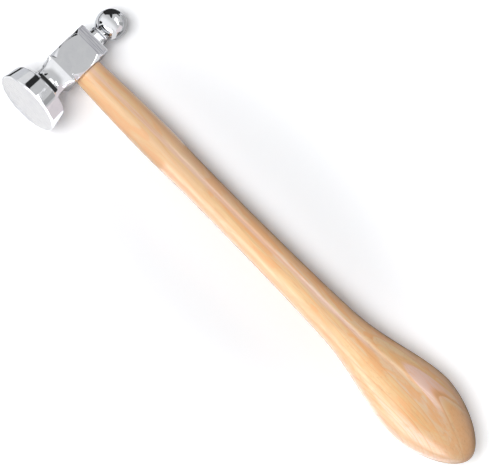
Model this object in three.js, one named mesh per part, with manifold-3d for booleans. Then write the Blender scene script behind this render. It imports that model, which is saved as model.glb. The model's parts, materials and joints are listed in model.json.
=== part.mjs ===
// A chasing hammer: a polished steel head, a turned wooden handle and the two wedges that hold them
// together. Millimetres. The hammer lies at rest on its face rim, its ball and the bulb of its handle:
// +X runs along the handle to the butt, the striking face looks to -Y and the ball to +Y, +Z is up.
import * as THREE from 'three';
import { mergeVertices } from 'three/addons/utils/BufferGeometryUtils.js';
import Module from 'manifold-3d';

const wasm = await Module();
wasm.setup();

// Striking disc, measured along the head from the plane of its front rim
const discFrontRadius = 15.4;
const discBackRadius = 14.05;
const discThickness = 8.6;
const frontRimChamfer = 0.6;
const backRimChamfer = 0.5;
const faceFlatRadius = 9;
const faceCrown = 0.35;

// Neck between the disc and the cheek block
const neckRadius = 6.55;
const neckCoveReach = 6.6;
const neckCoveRadius = 12.9;
const neckWaistLength = 0.3;
const shoulderLength = 4.5;

// Cheek block: a square bar whose four corners are turned to a horn, a swell and a second horn
const cheekHalfWidth = 8;
const frontHornLength = 1.8;
const swellLength = 14.4;
const swellPeakFromNotch = 8;
const swellRadius = 20;
const swellPeakRadius = 11.35;
const rearRampLength = 2;
const rearHornRadius = 11.15;
const rearHornLength = 2.9;
const rearHornChamfer = 0.5;

// Collar, groove and bead behind the block
const collarHalfWidth = 4.3;
const collarLength = 3.5;
const collarFillet = 0.8;
const grooveDepth = 0.55;
const grooveLength = 0.5;
const beadHalfWidth = 4.4;
const beadLength = 1.3;
const ballNeckRadius = 3.6;

// Ball peen
const ballRadius = 7.05;
const ballNeckLength = 0.75;

// Eye through the block: an oval that is waisted in the middle and flares towards the top
const eyeWaistHalfLength = 6;
const eyeWaistHalfWidth = 4.4;
const eyeFootFlare = 0.35;
const eyeTopFlare = 0.8;

// Handle, measured from the underside of the cheek block to the butt
const handleLength = 237.4;
const neckHalf = { width: 6.8, thickness: 5.6 };
const swellHalf = { width: 8, thickness: 6.7 };
const waistHalf = { width: 7.55, thickness: 6.5 };
const flareHalf = { width: 9.1, thickness: 7.6 };
const bulbHalf = { width: 17.9, thickness: 13.5 };
const swellAt = 44;
const waistAt = 68;
const flareAt = 155;
const bulbAt = 205.3;
const tenonProud = 0.5;

// Wedges driven into the end of the tenon
const kerfWedgeLength = 12;
const kerfWedgeHalfWidth = 5.2;
const kerfWedgeThickness = 2.4;
const kerfWedgeTip = 0.8;
const steelWedgeLength = 8;
const steelWedgeHalfWidth = 3;
const steelWedgeThickness = 1.5;
const steelWedgeTip = 0.4;
const wedgeProud = 0.2;

const clearance = 0.3;
const overrun = 4;

const turnSteps = 48;
const handleTurnSteps = 32;
const crownSteps = 4;
const coveSteps = 10;
const shoulderSteps = 9;
const filletSteps = 4;
const beadSteps = 8;
const ballSteps = 22;
const swellSteps = 12;
const restingRounds = 12;
const circleShare = 1 / 2;
const squareShare = 1 / 60;
const collarRoundShare = 0.28;
const flareOverShare = 1.3;
const squaringPowerShare = 1.5;
const eyeFromFrontShare = 0.481;

// Pull points of the handle's outline, stretch by stretch, as shares of the stretch's length and of its rise
const outlineShares = [
  { alongFirst: 0.32, riseFirst: 0.62, alongSecond: 0.68, riseSecond: 1, steps: 5 },
  { alongFirst: 0.35, riseFirst: 0, alongSecond: 0.6, riseSecond: 1, steps: 5 },
  { alongFirst: 0.45, riseFirst: 0, alongSecond: 0.75, riseSecond: 0.3, steps: 8 },
  { alongFirst: 0.4, riseFirst: 0.13, alongSecond: 0.72, riseSecond: 1, steps: 12 },
  { alongFirst: 0.4, riseFirst: 0, alongSecond: 1, riseSecond: 0.5, steps: 14 },
];

// Stations along the head that follow from the sizes above
const waistStart = discThickness + neckCoveReach;
const shoulderStart = waistStart + neckWaistLength;
const blockStart = shoulderStart + shoulderLength;
const frontNotchAt = blockStart + frontHornLength;
const rearNotchAt = frontNotchAt + swellLength;
const rearHornAt = rearNotchAt + rearRampLength;
const blockEnd = rearHornAt + rearHornLength;
const collarEnd = blockEnd + collarLength;
const beadStart = collarEnd + grooveLength;
const beadEnd = beadStart + beadLength;
const headCentre = blockStart + (blockEnd - blockStart) * eyeFromFrontShare;
const ballCentre = beadEnd + ballNeckLength + Math.sqrt(ballRadius ** 2 - ballNeckRadius ** 2);

function toSolid(geometry) {
  const plain = geometry.index ? geometry.clone() : mergeVertices(geometry);
  plain.deleteAttribute('normal');
  plain.deleteAttribute('uv');
  const merged = mergeVertices(plain);
  const index = merged.index.array;
  const corners = [];
  for (let i = 0; i < index.length; i += 3) {
    const [a, b, c] = [index[i], index[i + 1], index[i + 2]];
    if (a !== b && b !== c && c !== a) corners.push(a, b, c);
  }
  return new wasm.Manifold(new wasm.Mesh({
    numProp: 3,
    vertProperties: Float32Array.from(merged.attributes.position.array),
    triVerts: Uint32Array.from(corners),
  }));
}

function toGeometry(solid) {
  const mesh = solid.getMesh();
  const geometry = new THREE.BufferGeometry();
  geometry.setAttribute('position', new THREE.BufferAttribute(mesh.vertProperties, mesh.numProp));
  geometry.setIndex(new THREE.BufferAttribute(mesh.triVerts, 1));
  geometry.computeVertexNormals();
  return geometry;
}

// Points of an arc of an ellipse about (x, r), from one angle to another, as [station, radius] pairs
function arc(x, r, alongReach, outReach, from, to, steps) {
  const points = [];
  for (let i = 0; i <= steps; i += 1) {
    const angle = from + (to - from) * i / steps;
    points.push([x + alongReach * Math.cos(angle), r + outReach * Math.sin(angle)]);
  }
  return points;
}

// A profile turned round +Y. Each point may carry a share that squares its ring: one half is a circle.
function turned(points, steps) {
  const profile = points.map(([along, out]) => new THREE.Vector2(out, along));
  const geometry = new THREE.LatheGeometry(profile, steps);
  const position = geometry.attributes.position;
  for (let i = 0; i < position.count; i += 1) {
    const roundShare = points[i % points.length][2] ?? circleShare;
    const angle = 2 * Math.PI * Math.floor(i / points.length) / steps;
    const power = 1 / roundShare;
    const sum = Math.abs(Math.sin(angle)) ** power + Math.abs(Math.cos(angle)) ** power;
    const grow = sum ** -roundShare;
    position.setX(i, position.getX(i) * grow);
    position.setZ(i, position.getZ(i) * grow);
  }
  return toSolid(geometry);
}

// How square the neck is at a station: round at the disc, sharp-cornered at the block
function neckShare(along) {
  const reach = blockStart - discThickness;
  const travelled = THREE.MathUtils.clamp((along - discThickness) / reach, 0, 1);
  return THREE.MathUtils.lerp(circleShare, squareShare, travelled ** squaringPowerShare);
}

function discProfile() {
  const crownReach = discFrontRadius - frontRimChamfer - faceFlatRadius;
  const crown = [];
  for (let i = 0; i <= crownSteps; i += 1) {
    const share = i / crownSteps;
    crown.push([faceCrown * (share ** 2 - 1), faceFlatRadius + crownReach * share]);
  }
  return [
    [-faceCrown, 0],
    ...crown,
    [frontRimChamfer, discFrontRadius],
    [discThickness - backRimChamfer, discBackRadius],
    [discThickness, discBackRadius - backRimChamfer],
  ];
}

// The hollow behind the disc, the waist, and the hollow that runs out past the block's flats
function neckProfile() {
  const quarter = Math.PI / 2;
  const coveDepth = neckCoveRadius - neckRadius;
  const cove = arc(waistStart, neckCoveRadius, neckCoveReach, coveDepth, -2 * quarter, -quarter, coveSteps);
  const rise = cheekHalfWidth - neckRadius;
  const sweepRadius = (shoulderLength ** 2 + rise ** 2) / (2 * rise);
  const sweep = Math.asin(shoulderLength / sweepRadius) * flareOverShare;
  const shoulder = arc(shoulderStart, neckRadius + sweepRadius, sweepRadius, sweepRadius,
    -quarter, sweep - quarter, shoulderSteps);
  return [...cove, ...shoulder].map(([along, out]) => [along, out, neckShare(along)]);
}

function rearProfile() {
  const quarter = Math.PI / 2;
  const outside = cheekHalfWidth + overrun;
  const fillet = arc(blockEnd + collarFillet, collarHalfWidth + collarFillet, collarFillet, collarFillet,
    -2 * quarter, -quarter, filletSteps);
  const grooveFoot = collarHalfWidth - grooveDepth;
  const bead = arc(beadStart + beadLength / 2, grooveFoot, beadLength / 2, beadHalfWidth - grooveFoot,
    2 * quarter, 0, beadSteps);
  const collar = [...fillet, [collarEnd, collarHalfWidth], [collarEnd, grooveFoot], ...bead];
  const start = Math.asin(ballNeckRadius / ballRadius);
  const ball = arc(ballCentre, 0, ballRadius, ballRadius, 2 * quarter - start, 0, ballSteps);
  return [
    [blockEnd, outside, squareShare],
    ...collar.map(([along, out]) => [along, out, collarRoundShare]),
    ...ball,
  ];
}

// The bar's corners as the lathe leaves them: horn, notch, swell, notch, horn
function cornerProfile() {
  const peakAt = frontNotchAt + swellPeakFromNotch;
  const swell = [];
  for (let i = 0; i <= swellSteps; i += 1) {
    const along = frontNotchAt + swellLength * i / swellSteps;
    const drop = swellRadius - Math.sqrt(swellRadius ** 2 - (along - peakAt) ** 2);
    swell.push([along, swellPeakRadius - drop]);
  }
  const barCorner = cheekHalfWidth * Math.SQRT2;
  return [
    [waistStart, 0],
    [waistStart, barCorner + overrun],
    [shoulderStart, barCorner + overrun],
    [blockStart, barCorner],
    ...swell,
    [rearHornAt, rearHornRadius],
    [blockEnd - rearHornChamfer, rearHornRadius],
    [blockEnd, rearHornRadius - rearHornChamfer],
    [ballCentre + ballRadius + overrun, rearHornRadius - rearHornChamfer],
    [ballCentre + ballRadius + overrun, 0],
  ];
}

function box(lowX, highX, lowY, highY, lowZ, highZ) {
  const geometry = new THREE.BoxGeometry(highX - lowX, highY - lowY, highZ - lowZ);
  geometry.translate((lowX + highX) / 2, (lowY + highY) / 2, (lowZ + highZ) / 2);
  return toSolid(geometry);
}

// An oval bar along +X, at a station of the head, through [along, half length in Y, half width in Z] rings
function ovalBar(stations, headStation) {
  const profile = stations.map(([along, halfY]) => new THREE.Vector2(halfY, along));
  const geometry = new THREE.LatheGeometry(profile, handleTurnSteps);
  const position = geometry.attributes.position;
  for (let i = 0; i < position.count; i += 1) {
    const [, halfY, halfZ] = stations[i % stations.length];
    if (halfY > 0) position.setZ(i, position.getZ(i) * halfZ / halfY);
  }
  geometry.rotateZ(-Math.PI / 2);
  geometry.translate(0, headStation, 0);
  return toSolid(geometry);
}

// Half sizes of the eye at a height along the handle's axis, which runs from the top to the foot of the block
function eyeAt(along) {
  const share = Math.abs(along) / cheekHalfWidth;
  const flare = (along < 0 ? eyeTopFlare : eyeFootFlare) * share;
  return [eyeWaistHalfLength + flare, eyeWaistHalfWidth + flare];
}

function eyeStations(low, high, inset) {
  return [low, 0, high].map((along) => {
    const [halfY, halfZ] = eyeAt(along);
    return [along, halfY - inset, halfZ - inset];
  });
}

function closedStations(stations) {
  const first = stations[0][0];
  const last = stations[stations.length - 1][0];
  return [[first, 0, 0], ...stations, [last, 0, 0]];
}

function headSolid() {
  const turnedHead = turned([...discProfile(), ...neckProfile(), ...rearProfile()], turnSteps);
  const reach = ballCentre + ballRadius + overrun;
  const discBlank = turned([
    [-overrun, 0],
    [-overrun, discFrontRadius + overrun],
    [shoulderStart, discFrontRadius + overrun],
    [shoulderStart, 0],
  ], turnSteps);
  const bar = box(-cheekHalfWidth, cheekHalfWidth, waistStart, reach, -cheekHalfWidth, cheekHalfWidth);
  const blank = discBlank.add(bar.intersect(turned(cornerProfile(), turnSteps * 2)));
  const past = cheekHalfWidth + overrun;
  const eye = ovalBar(closedStations(eyeStations(-past, past, 0)), headCentre);
  return turnedHead.intersect(blank).subtract(eye);
}

// One outline of the handle, in width or in thickness, from the cheek's underside to the butt
function handleOutline(side) {
  const knots = [
    [clearance, neckHalf[side]],
    [swellAt, swellHalf[side]],
    [waistAt, waistHalf[side]],
    [flareAt, flareHalf[side]],
    [bulbAt, bulbHalf[side]],
    [handleLength, 0],
  ].map(([along, half]) => new THREE.Vector2(cheekHalfWidth + along, half));
  return outlineShares.map((shares, n) => {
    const [from, to] = [knots[n], knots[n + 1]];
    const reach = to.clone().sub(from);
    const pull = (along, rise) => new THREE.Vector2(from.x + reach.x * along, from.y + reach.y * rise);
    const first = pull(shares.alongFirst, shares.riseFirst);
    const second = pull(shares.alongSecond, shares.riseSecond);
    return new THREE.CubicBezierCurve(from, first, second, to);
  });
}

function handleStations() {
  const thicknesses = handleOutline('thickness');
  const stations = [];
  handleOutline('width').forEach((curve, n) => {
    const { steps } = outlineShares[n];
    for (let i = n === 0 ? 0 : 1; i <= steps; i += 1) {
      const point = curve.getPoint(i / steps);
      stations.push([point.x, point.y, thicknesses[n].getPoint(i / steps).y]);
    }
  });
  return stations;
}

// A wedge pointing to +X from the end of the tenon: thick in Z and broad in Y, or rolled a quarter turn
function wedge(length, halfWidth, thickness, tip, grow, roll) {
  const top = -cheekHalfWidth - tenonProud;
  const slope = (thickness - tip) / 2 / length;
  const outline = new THREE.Shape();
  outline.moveTo(-wedgeProud - grow, thickness / 2 + slope * wedgeProud + grow);
  outline.lineTo(length + grow, tip / 2 + grow);
  outline.lineTo(length + grow, -tip / 2 - grow);
  outline.lineTo(-wedgeProud - grow, -thickness / 2 - slope * wedgeProud - grow);
  outline.closePath();
  const breadth = 2 * (halfWidth + grow);
  const geometry = new THREE.ExtrudeGeometry(outline, { depth: breadth, bevelEnabled: false });
  geometry.translate(0, 0, -breadth / 2);
  geometry.rotateX(roll - Math.PI / 2);
  geometry.translate(top, 0, 0);
  return toSolid(geometry);
}

function kerfWedge(grow) {
  return wedge(kerfWedgeLength, kerfWedgeHalfWidth, kerfWedgeThickness, kerfWedgeTip, grow, 0);
}

function steelWedge(grow) {
  const quarter = Math.PI / 2;
  return wedge(steelWedgeLength, steelWedgeHalfWidth, steelWedgeThickness, steelWedgeTip, grow, quarter);
}

function handleSolid() {
  const tenon = eyeStations(-cheekHalfWidth - tenonProud, cheekHalfWidth + clearance, clearance);
  const stations = closedStations([...tenon, ...handleStations()]).slice(0, -1);
  return ovalBar(stations, 0).subtract(kerfWedge(clearance)).subtract(steelWedge(clearance));
}

const materials = {
  hammer_head: new THREE.MeshStandardMaterial({ color: 0xc9cacf, roughness: 0.08, metalness: 1 }),
  handle: new THREE.MeshStandardMaterial({ color: 0xe5b07c, roughness: 0.25, metalness: 0 }),
  kerf_wedge: new THREE.MeshStandardMaterial({ color: 0x8a5a36, roughness: 0.6, metalness: 0 }),
  steel_wedge: new THREE.MeshStandardMaterial({ color: 0x8d9094, roughness: 0.4, metalness: 1 }),
};

function piece(name, solid) {
  const mesh = new THREE.Mesh(toGeometry(solid), materials[name]);
  mesh.name = name;
  return mesh;
}

// The lowest vertex of a mesh, among those on one side of a plane across the head, once the tool is turned
function lowestPoint(mesh, turn, keep) {
  const position = mesh.geometry.attributes.position;
  const lowest = new THREE.Vector3();
  let height = Infinity;
  for (let i = 0; i < position.count; i += 1) {
    const point = new THREE.Vector3().fromBufferAttribute(position, i);
    const z = point.clone().applyQuaternion(turn).z;
    if (keep(point) && z < height) {
      height = z;
      lowest.copy(point);
    }
  }
  return lowest;
}

// The turn that lays the tool on its face rim, its ball and its bulb at once
function restingTurn(head, handle) {
  let turn = new THREE.Quaternion();
  const up = new THREE.Vector3(0, 0, 1);
  const ahead = new THREE.Vector3(1, 0, 0);
  for (let i = 0; i < restingRounds; i += 1) {
    const rim = lowestPoint(head, turn, (p) => p.y < 0);
    const ball = lowestPoint(head, turn, (p) => p.y > 0);
    const bulb = lowestPoint(handle, turn, () => true);
    const normal = bulb.clone().sub(rim).cross(ball.clone().sub(rim)).normalize();
    const tip = new THREE.Quaternion().setFromUnitVectors(normal, up);
    const heading = ahead.clone().applyQuaternion(tip);
    const square = new THREE.Quaternion().setFromAxisAngle(up, -Math.atan2(heading.y, heading.x));
    turn = square.multiply(tip);
  }
  return turn;
}

const head = piece('hammer_head', headSolid());
head.geometry.translate(0, -headCentre, 0);
const handle = piece('handle', handleSolid());
const kerf = piece('kerf_wedge', kerfWedge(0).subtract(steelWedge(clearance)));
const steel = piece('steel_wedge', steelWedge(0));

const tool = new THREE.Group();
tool.add(head, handle, kerf, steel);
tool.quaternion.copy(restingTurn(head, handle));

const hammer = new THREE.Group();
hammer.name = 'chasing_hammer';
hammer.add(tool);
hammer.updateMatrixWorld(true);
const bounds = new THREE.Box3().setFromObject(hammer, true);
const middle = bounds.getCenter(new THREE.Vector3());
tool.position.set(-middle.x, -middle.y, -bounds.min.z);

export default hammer;
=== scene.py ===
"""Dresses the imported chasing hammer: polished steel head, lacquered wooden handle and its two wedges.

The forms are worked out in the hammer's own millimetres. There +Y runs along the head from the striking
face to the ball, +X runs down the handle to the butt, and Z = 0 is the plane through both axes. They are
then laid down in the row frame, in metres, as the record's mounts say.
"""
import json
import logging
import math
from dataclasses import dataclass, field
from enum import Enum
from typing import Any, ClassVar

import bmesh
import bpy
import numpy as np
from mathutils import Euler, Matrix, Vector


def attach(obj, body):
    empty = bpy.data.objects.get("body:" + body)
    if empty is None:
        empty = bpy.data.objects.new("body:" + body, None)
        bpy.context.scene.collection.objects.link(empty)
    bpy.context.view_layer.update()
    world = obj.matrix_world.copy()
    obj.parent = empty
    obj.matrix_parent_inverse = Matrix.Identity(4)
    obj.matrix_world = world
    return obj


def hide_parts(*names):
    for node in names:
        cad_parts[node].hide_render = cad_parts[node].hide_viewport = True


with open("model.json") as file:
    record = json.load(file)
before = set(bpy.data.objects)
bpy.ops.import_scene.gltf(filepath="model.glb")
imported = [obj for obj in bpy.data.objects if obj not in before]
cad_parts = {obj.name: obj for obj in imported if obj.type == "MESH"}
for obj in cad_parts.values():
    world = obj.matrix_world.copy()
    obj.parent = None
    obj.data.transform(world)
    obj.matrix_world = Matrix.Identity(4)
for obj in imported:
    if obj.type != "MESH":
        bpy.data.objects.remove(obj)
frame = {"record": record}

log = logging.getLogger("chasing_hammer")

MILLIMETRE = 0.001
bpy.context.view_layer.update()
QUARTER = math.pi / 2
CREASE = math.radians(50)

Point = tuple[float, float]
Place = tuple[float, float, float]
Colour = tuple[float, float, float, float]
# A ramp runs between its first two numbers, and gives its third at the one and its fourth at the other
Ramp = tuple[float, float, float, float]
Socket = bpy.types.NodeSocket
# Stations of a row of rings, and how far each ring reaches at each angle
Rings = tuple[np.ndarray, np.ndarray]


class Slot(Enum):
    """The record's material slots."""

    HEAD = "head_steel"
    HANDLE = "handle_wood"
    KERF_WEDGE = "wedge_wood"
    STEEL_WEDGE = "wedge_steel"


@dataclass(frozen=True)
class ToolFrame:
    """Where the hammer's own axes lie in the row frame.

    Attributes:
        matrix: turns and moves the hammer's own metres into the row frame.
        head_centre: distance from the plane of the face's rim to the handle's axis, in millimetres.
    """

    matrix: Matrix
    head_centre: float

    @classmethod
    def from_record(cls, record: dict[str, Any], cheek_half_width: float, face_crown: float) -> "ToolFrame":
        """Reads the frame from the record's mounts.

        Args:
            record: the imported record.
            cheek_half_width: half the distance between the two cheek flats, in millimetres.
            face_crown: how far the face's middle stands proud of its rim, in millimetres.

        Returns:
            The frame of the hammer as it lies.
        """
        mounts = {mount["name"]: mount for mount in record["mounts"]}
        up = Vector(mounts["cheek_flat_upper"]["axis"]).normalized()
        ahead = -Vector(mounts["striking_face"]["axis"]).normalized()
        side = ahead.cross(up)
        origin = Vector(mounts["cheek_flat_upper"]["pos_m"]) - up * cheek_half_width * MILLIMETRE
        face = Vector(mounts["striking_face"]["pos_m"])
        turn = Matrix((side, ahead, up)).transposed().to_4x4()
        centre = (origin - face).dot(ahead) / MILLIMETRE - face_crown
        return cls(Matrix.Translation(origin) @ turn, centre)

    def lay_down(self, points: np.ndarray) -> np.ndarray:
        """Turns points in the hammer's millimetres into the row frame's metres.

        Args:
            points: an array whose last axis is x, y and z.

        Returns:
            An array of the same shape.
        """
        turn = np.array(self.matrix.to_3x3())
        return points * MILLIMETRE @ turn.T + np.array(self.matrix.translation)


def arc(centre: Point, reach: Point, start: float, end: float, steps: int) -> list[Point]:
    """Points of an arc of an ellipse.

    Args:
        centre: the ellipse's middle.
        reach: its half length along and its half height.
        start: the first angle, in radians.
        end: the last angle, in radians.
        steps: how many chords the arc has.

    Returns:
        The points from start to end.
    """
    angles = np.linspace(start, end, steps + 1)
    return [(centre[0] + reach[0] * math.cos(a), centre[1] + reach[1] * math.sin(a)) for a in angles]


def eased(points: list[Point], radius: float, steps: int = 5) -> list[Point]:
    """Rounds the corners of an open outline.

    Args:
        points: the outline's corners.
        radius: how far from a corner its round starts.
        steps: how many chords a round has.

    Returns:
        The outline with each inner corner turned into a short curve.
    """
    out = [points[0]]
    for before, corner, after in zip(points, points[1:], points[2:]):
        here = np.array(corner)
        back = np.array(before) - here
        on = np.array(after) - here
        start = here + back * min(0.5, radius / np.linalg.norm(back))
        end = here + on * min(0.5, radius / np.linalg.norm(on))
        for t in np.linspace(0, 1, steps + 1):
            place = (1 - t) ** 2 * start + 2 * t * (1 - t) * here + t ** 2 * end
            out.append((float(place[0]), float(place[1])))
    out.append(points[-1])
    return out


def divided(points: list[Point], longest: float) -> list[Point]:
    """Splits the long stretches of an outline, so that its shading stays true.

    Args:
        points: the outline's corners.
        longest: the longest stretch that may be left.

    Returns:
        The outline with more points on the same lines.
    """
    out = [points[0]]
    for start, end in zip(points, points[1:]):
        length = math.dist(start, end)
        pieces = max(1, math.ceil(length / longest))
        out.extend(
            (start[0] + (end[0] - start[0]) * n / pieces, start[1] + (end[1] - start[1]) * n / pieces)
            for n in range(1, pieces + 1)
            if length > 0
        )
    return out


def soft_min(first: np.ndarray, second: np.ndarray, ease: float) -> np.ndarray:
    """The lower of two heights, with a small round where they cross.

    Args:
        first: one height.
        second: the other height.
        ease: over what difference of height the round spreads.

    Returns:
        The eased minimum.
    """
    near = np.maximum(ease - np.abs(first - second), 0) / ease
    return np.minimum(first, second) - near ** 2 * ease / 4


def superellipse(angles: np.ndarray, share: float) -> np.ndarray:
    """How far a ring of half width 1 reaches at each angle: a share of one half is a circle.

    Args:
        angles: the angles round the ring.
        share: one half for a circle, down to almost nothing for a square.

    Returns:
        The reach at each angle.
    """
    power = 1 / share
    return (np.abs(np.sin(angles)) ** power + np.abs(np.cos(angles)) ** power) ** -share


def closed_mesh(name: str, points: np.ndarray, faces: list[list[int]], ease: float = 0.0) -> bpy.types.Mesh:
    """Makes a smooth mesh of a closed shape, with its faces turned outwards.

    Args:
        name: the mesh's name.
        points: its corners, in metres.
        faces: which corners each face has.
        ease: how far its edges are rounded, in metres.

    Returns:
        The mesh.
    """
    mesh = bpy.data.meshes.new(name)
    mesh.from_pydata(points.tolist(), [], faces)
    shape = bmesh.new()
    shape.from_mesh(mesh)
    bmesh.ops.recalc_face_normals(shape, faces=shape.faces)
    if ease > 0:
        bmesh.ops.bevel(shape, geom=list(shape.edges), offset=ease, segments=3, profile=0.5, affect="EDGES")
    shape.to_mesh(mesh)
    shape.free()
    mesh.shade_smooth()
    return mesh


def ring_mesh(name: str, rings: np.ndarray) -> bpy.types.Mesh:
    """Skins a row of rings and closes both ends with a fan round their middle.

    Args:
        name: the mesh's name.
        rings: ring by ring and point by point, x, y and z in metres.

    Returns:
        A smooth mesh, four-sided but for its ends.
    """
    count, around, _ = rings.shape
    first, column = np.meshgrid(np.arange(count - 1) * around, np.arange(around), indexing="ij")
    on = (column + 1) % around
    corners = [first + column, first + on, first + around + on, first + around + column]
    faces = np.stack(corners, -1).reshape(-1, 4).tolist()
    points = np.vstack([rings.reshape(-1, 3), rings[0].mean(axis=0), rings[-1].mean(axis=0)])
    middle = count * around
    last = middle - around
    faces += [[(n + 1) % around, n, middle] for n in range(around)]
    faces += [[last + n, last + (n + 1) % around, middle + 1] for n in range(around)]
    return closed_mesh(name, points, faces)


def add_object(data: bpy.types.ID) -> bpy.types.Object:
    """Puts a mesh, a lamp or a camera in the scene under its own name.

    Args:
        data: what the object is made of.

    Returns:
        The object.
    """
    thing = bpy.data.objects.new(data.name, data)
    bpy.context.scene.collection.objects.link(thing)
    return thing


def cut(body: bpy.types.Object, cutters: list[bpy.types.Object]) -> None:
    """Cuts closed shapes out of a closed piece, deletes the cutters and keeps the new edges sharp.

    Args:
        body: the piece that is cut.
        cutters: what is taken out of it.
    """
    for cutter in cutters:
        modifier = body.modifiers.new("cut", "BOOLEAN")
        modifier.object = cutter
        modifier.operation = "DIFFERENCE"
        modifier.solver = "MANIFOLD"
    graph = bpy.context.evaluated_depsgraph_get()
    cut_mesh = bpy.data.meshes.new_from_object(body.evaluated_get(graph))
    body.modifiers.clear()
    old = body.data
    cut_mesh.name = old.name
    body.data = cut_mesh
    bpy.data.meshes.remove(old)
    body.data.shade_smooth()
    body.data.set_sharp_from_angle(angle=CREASE)
    for cutter in cutters:
        bpy.data.meshes.remove(cutter.data)


def report(piece: bpy.types.Object) -> None:
    """Logs a finished piece."""
    log.info("%s: %d faces", piece.name, len(piece.data.polygons))


class Sheet:
    """A small writer of shader nodes for one material, or for the world."""

    def __init__(self, owner: bpy.types.ID, output: str = "ShaderNodeOutputMaterial") -> None:
        """Starts with nothing but an output.

        Args:
            owner: the material or the world that the nodes belong to.
            output: the type of its output node.
        """
        owner.use_nodes = True
        self.owner = owner
        self.tree = owner.node_tree
        self.tree.nodes.clear()
        self.output = self.node(output)

    @classmethod
    def of_material(cls, name: str) -> "Sheet":
        """Starts an empty material of that name."""
        return cls(bpy.data.materials.new(name))

    def node(self, kind: str, **settings: Any) -> bpy.types.Node:
        """Adds a node.

        Args:
            kind: the node's type.
            settings: values for the node's own properties.

        Returns:
            The node.
        """
        made = self.tree.nodes.new(kind)
        for key, value in settings.items():
            setattr(made, key, value)
        return made

    def plug(self, socket: Socket, value: Any) -> None:
        """Gives an input a value, or links it to the socket that drives it.

        Args:
            socket: the input.
            value: a value or another node's output.
        """
        if isinstance(value, Socket):
            self.tree.links.new(value, socket)
        else:
            socket.default_value = value

    def wired(self, kind: str, *values: Any, **settings: Any) -> Socket:
        """Adds a node and plugs its inputs in their own order.

        Args:
            kind: the node's type.
            values: what its first inputs get, a value or a socket each.
            settings: values for the node's own properties.

        Returns:
            The node's first output.
        """
        made = self.node(kind, **settings)
        for socket, value in zip(made.inputs, values):
            self.plug(socket, value)
        return made.outputs[0]

    def fed(self, kind: str, settings: dict[str, Any] | None = None, **inputs: Any) -> Socket:
        """Adds a node and plugs its inputs by name, in lower case with underscores.

        Args:
            kind: the node's type.
            settings: values for the node's own properties.
            inputs: a value, or the socket that drives the input.

        Returns:
            The node's first output.
        """
        made = self.node(kind, **(settings or {}))
        sockets = {socket.identifier.lower().replace(" ", "_"): socket for socket in made.inputs}
        for key, value in inputs.items():
            self.plug(sockets[key], value)
        return made.outputs[0]

    def math(self, operation: str, first: Any, second: Any = 0.0, third: Any = 0.0) -> Socket:
        """One sum on one to three values or sockets."""
        return self.wired("ShaderNodeMath", first, second, third, operation=operation)

    def product(self, first: Any, *others: Any) -> Socket:
        """Multiplies values or sockets.

        Args:
            first: a value or a socket.
            others: what it is multiplied by, one after the other.

        Returns:
            The product's socket.
        """
        for other in others:
            first = self.math("MULTIPLY", first, other)
        return first

    def apart(self, vector: Socket) -> list[Socket]:
        """Splits a vector into its x, y and z.

        Args:
            vector: the vector's socket.

        Returns:
            The three sockets.
        """
        split = self.node("ShaderNodeSeparateXYZ")
        self.plug(split.inputs[0], vector)
        return list(split.outputs)

    def tool_space(self, tool: ToolFrame) -> Socket:
        """The hammer's own coordinates in millimetres, whatever way it lies.

        Args:
            tool: where the hammer's axes lie.

        Returns:
            A vector socket.
        """
        coordinate = self.node("ShaderNodeTexCoord")
        turn = self.node("ShaderNodeMapping", vector_type="TEXTURE")
        turn.inputs["Location"].default_value = tool.matrix.translation
        turn.inputs["Rotation"].default_value = tool.matrix.to_euler()
        turn.inputs["Scale"].default_value = (MILLIMETRE, MILLIMETRE, MILLIMETRE)
        self.plug(turn.inputs["Vector"], coordinate.outputs["Object"])
        return turn.outputs["Vector"]

    def stretched(self, vector: Socket, scale: Place) -> Socket:
        """The same coordinates scaled along each axis."""
        return self.wired("ShaderNodeVectorMath", vector, scale, operation="MULTIPLY")

    def noise(self, place: Socket, grain: Place, detail: float, stirred: float = 0.0) -> Socket:
        """A noise value from 0 to 1.

        Args:
            place: where the noise is read.
            grain: how many blotches a unit holds along each axis.
            detail: how many finer layers it has.
            stirred: how far it is stirred.

        Returns:
            The value's socket.
        """
        return self.fed("ShaderNodeTexNoise", vector=self.stretched(place, grain), scale=1.0,
                        detail=detail, distortion=stirred)

    def waver(self, value: Socket, grain: float, detail: float) -> Socket:
        """A noise value from 0 to 1 that changes along one value only.

        Args:
            value: where the noise is read.
            grain: how many blotches a unit holds.
            detail: how many finer layers it has.

        Returns:
            The value's socket.
        """
        return self.fed("ShaderNodeTexNoise", {"noise_dimensions": "1D"}, w=value, scale=grain, detail=detail)

    def between(self, value: Socket, ramp: Ramp) -> Socket:
        """Spreads a range of values over another range, with its ends held."""
        return self.wired("ShaderNodeMapRange", value, *ramp, interpolation_type="SMOOTHSTEP")

    def mix(self, amount: Any, first: Any, second: Any) -> Socket:
        """Mixes two colours.

        Args:
            amount: how much of the second one, a number or a socket.
            first: a colour or a socket.
            second: a colour or a socket.

        Returns:
            The mixed colour's socket.
        """
        made = self.node("ShaderNodeMix", data_type="RGBA")
        for socket, value in ((made.inputs[0], amount), (made.inputs[6], first), (made.inputs[7], second)):
            self.plug(socket, value)
        return made.outputs[2]

    def layered(self, colour: Any, *layers: tuple[Any, Colour]) -> Socket:
        """Lays colours over one another.

        Args:
            colour: the lowest colour, or its socket.
            layers: how much of the next colour a place gets, and that colour.

        Returns:
            The last mixed colour's socket.
        """
        for amount, layer in layers:
            colour = self.mix(amount, colour, layer)
        return colour

    def bump(self, height: Socket, depth: float, strength: float = 1.0) -> Socket:
        """A bumped normal from a height of 0 to 1 that stands for depth metres."""
        return self.fed("ShaderNodeBump", height=height, distance=depth, strength=strength)

    def surface(self, shader: Socket) -> None:
        """Joins a shader to the output."""
        self.plug(self.output.inputs["Surface"], shader)

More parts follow.
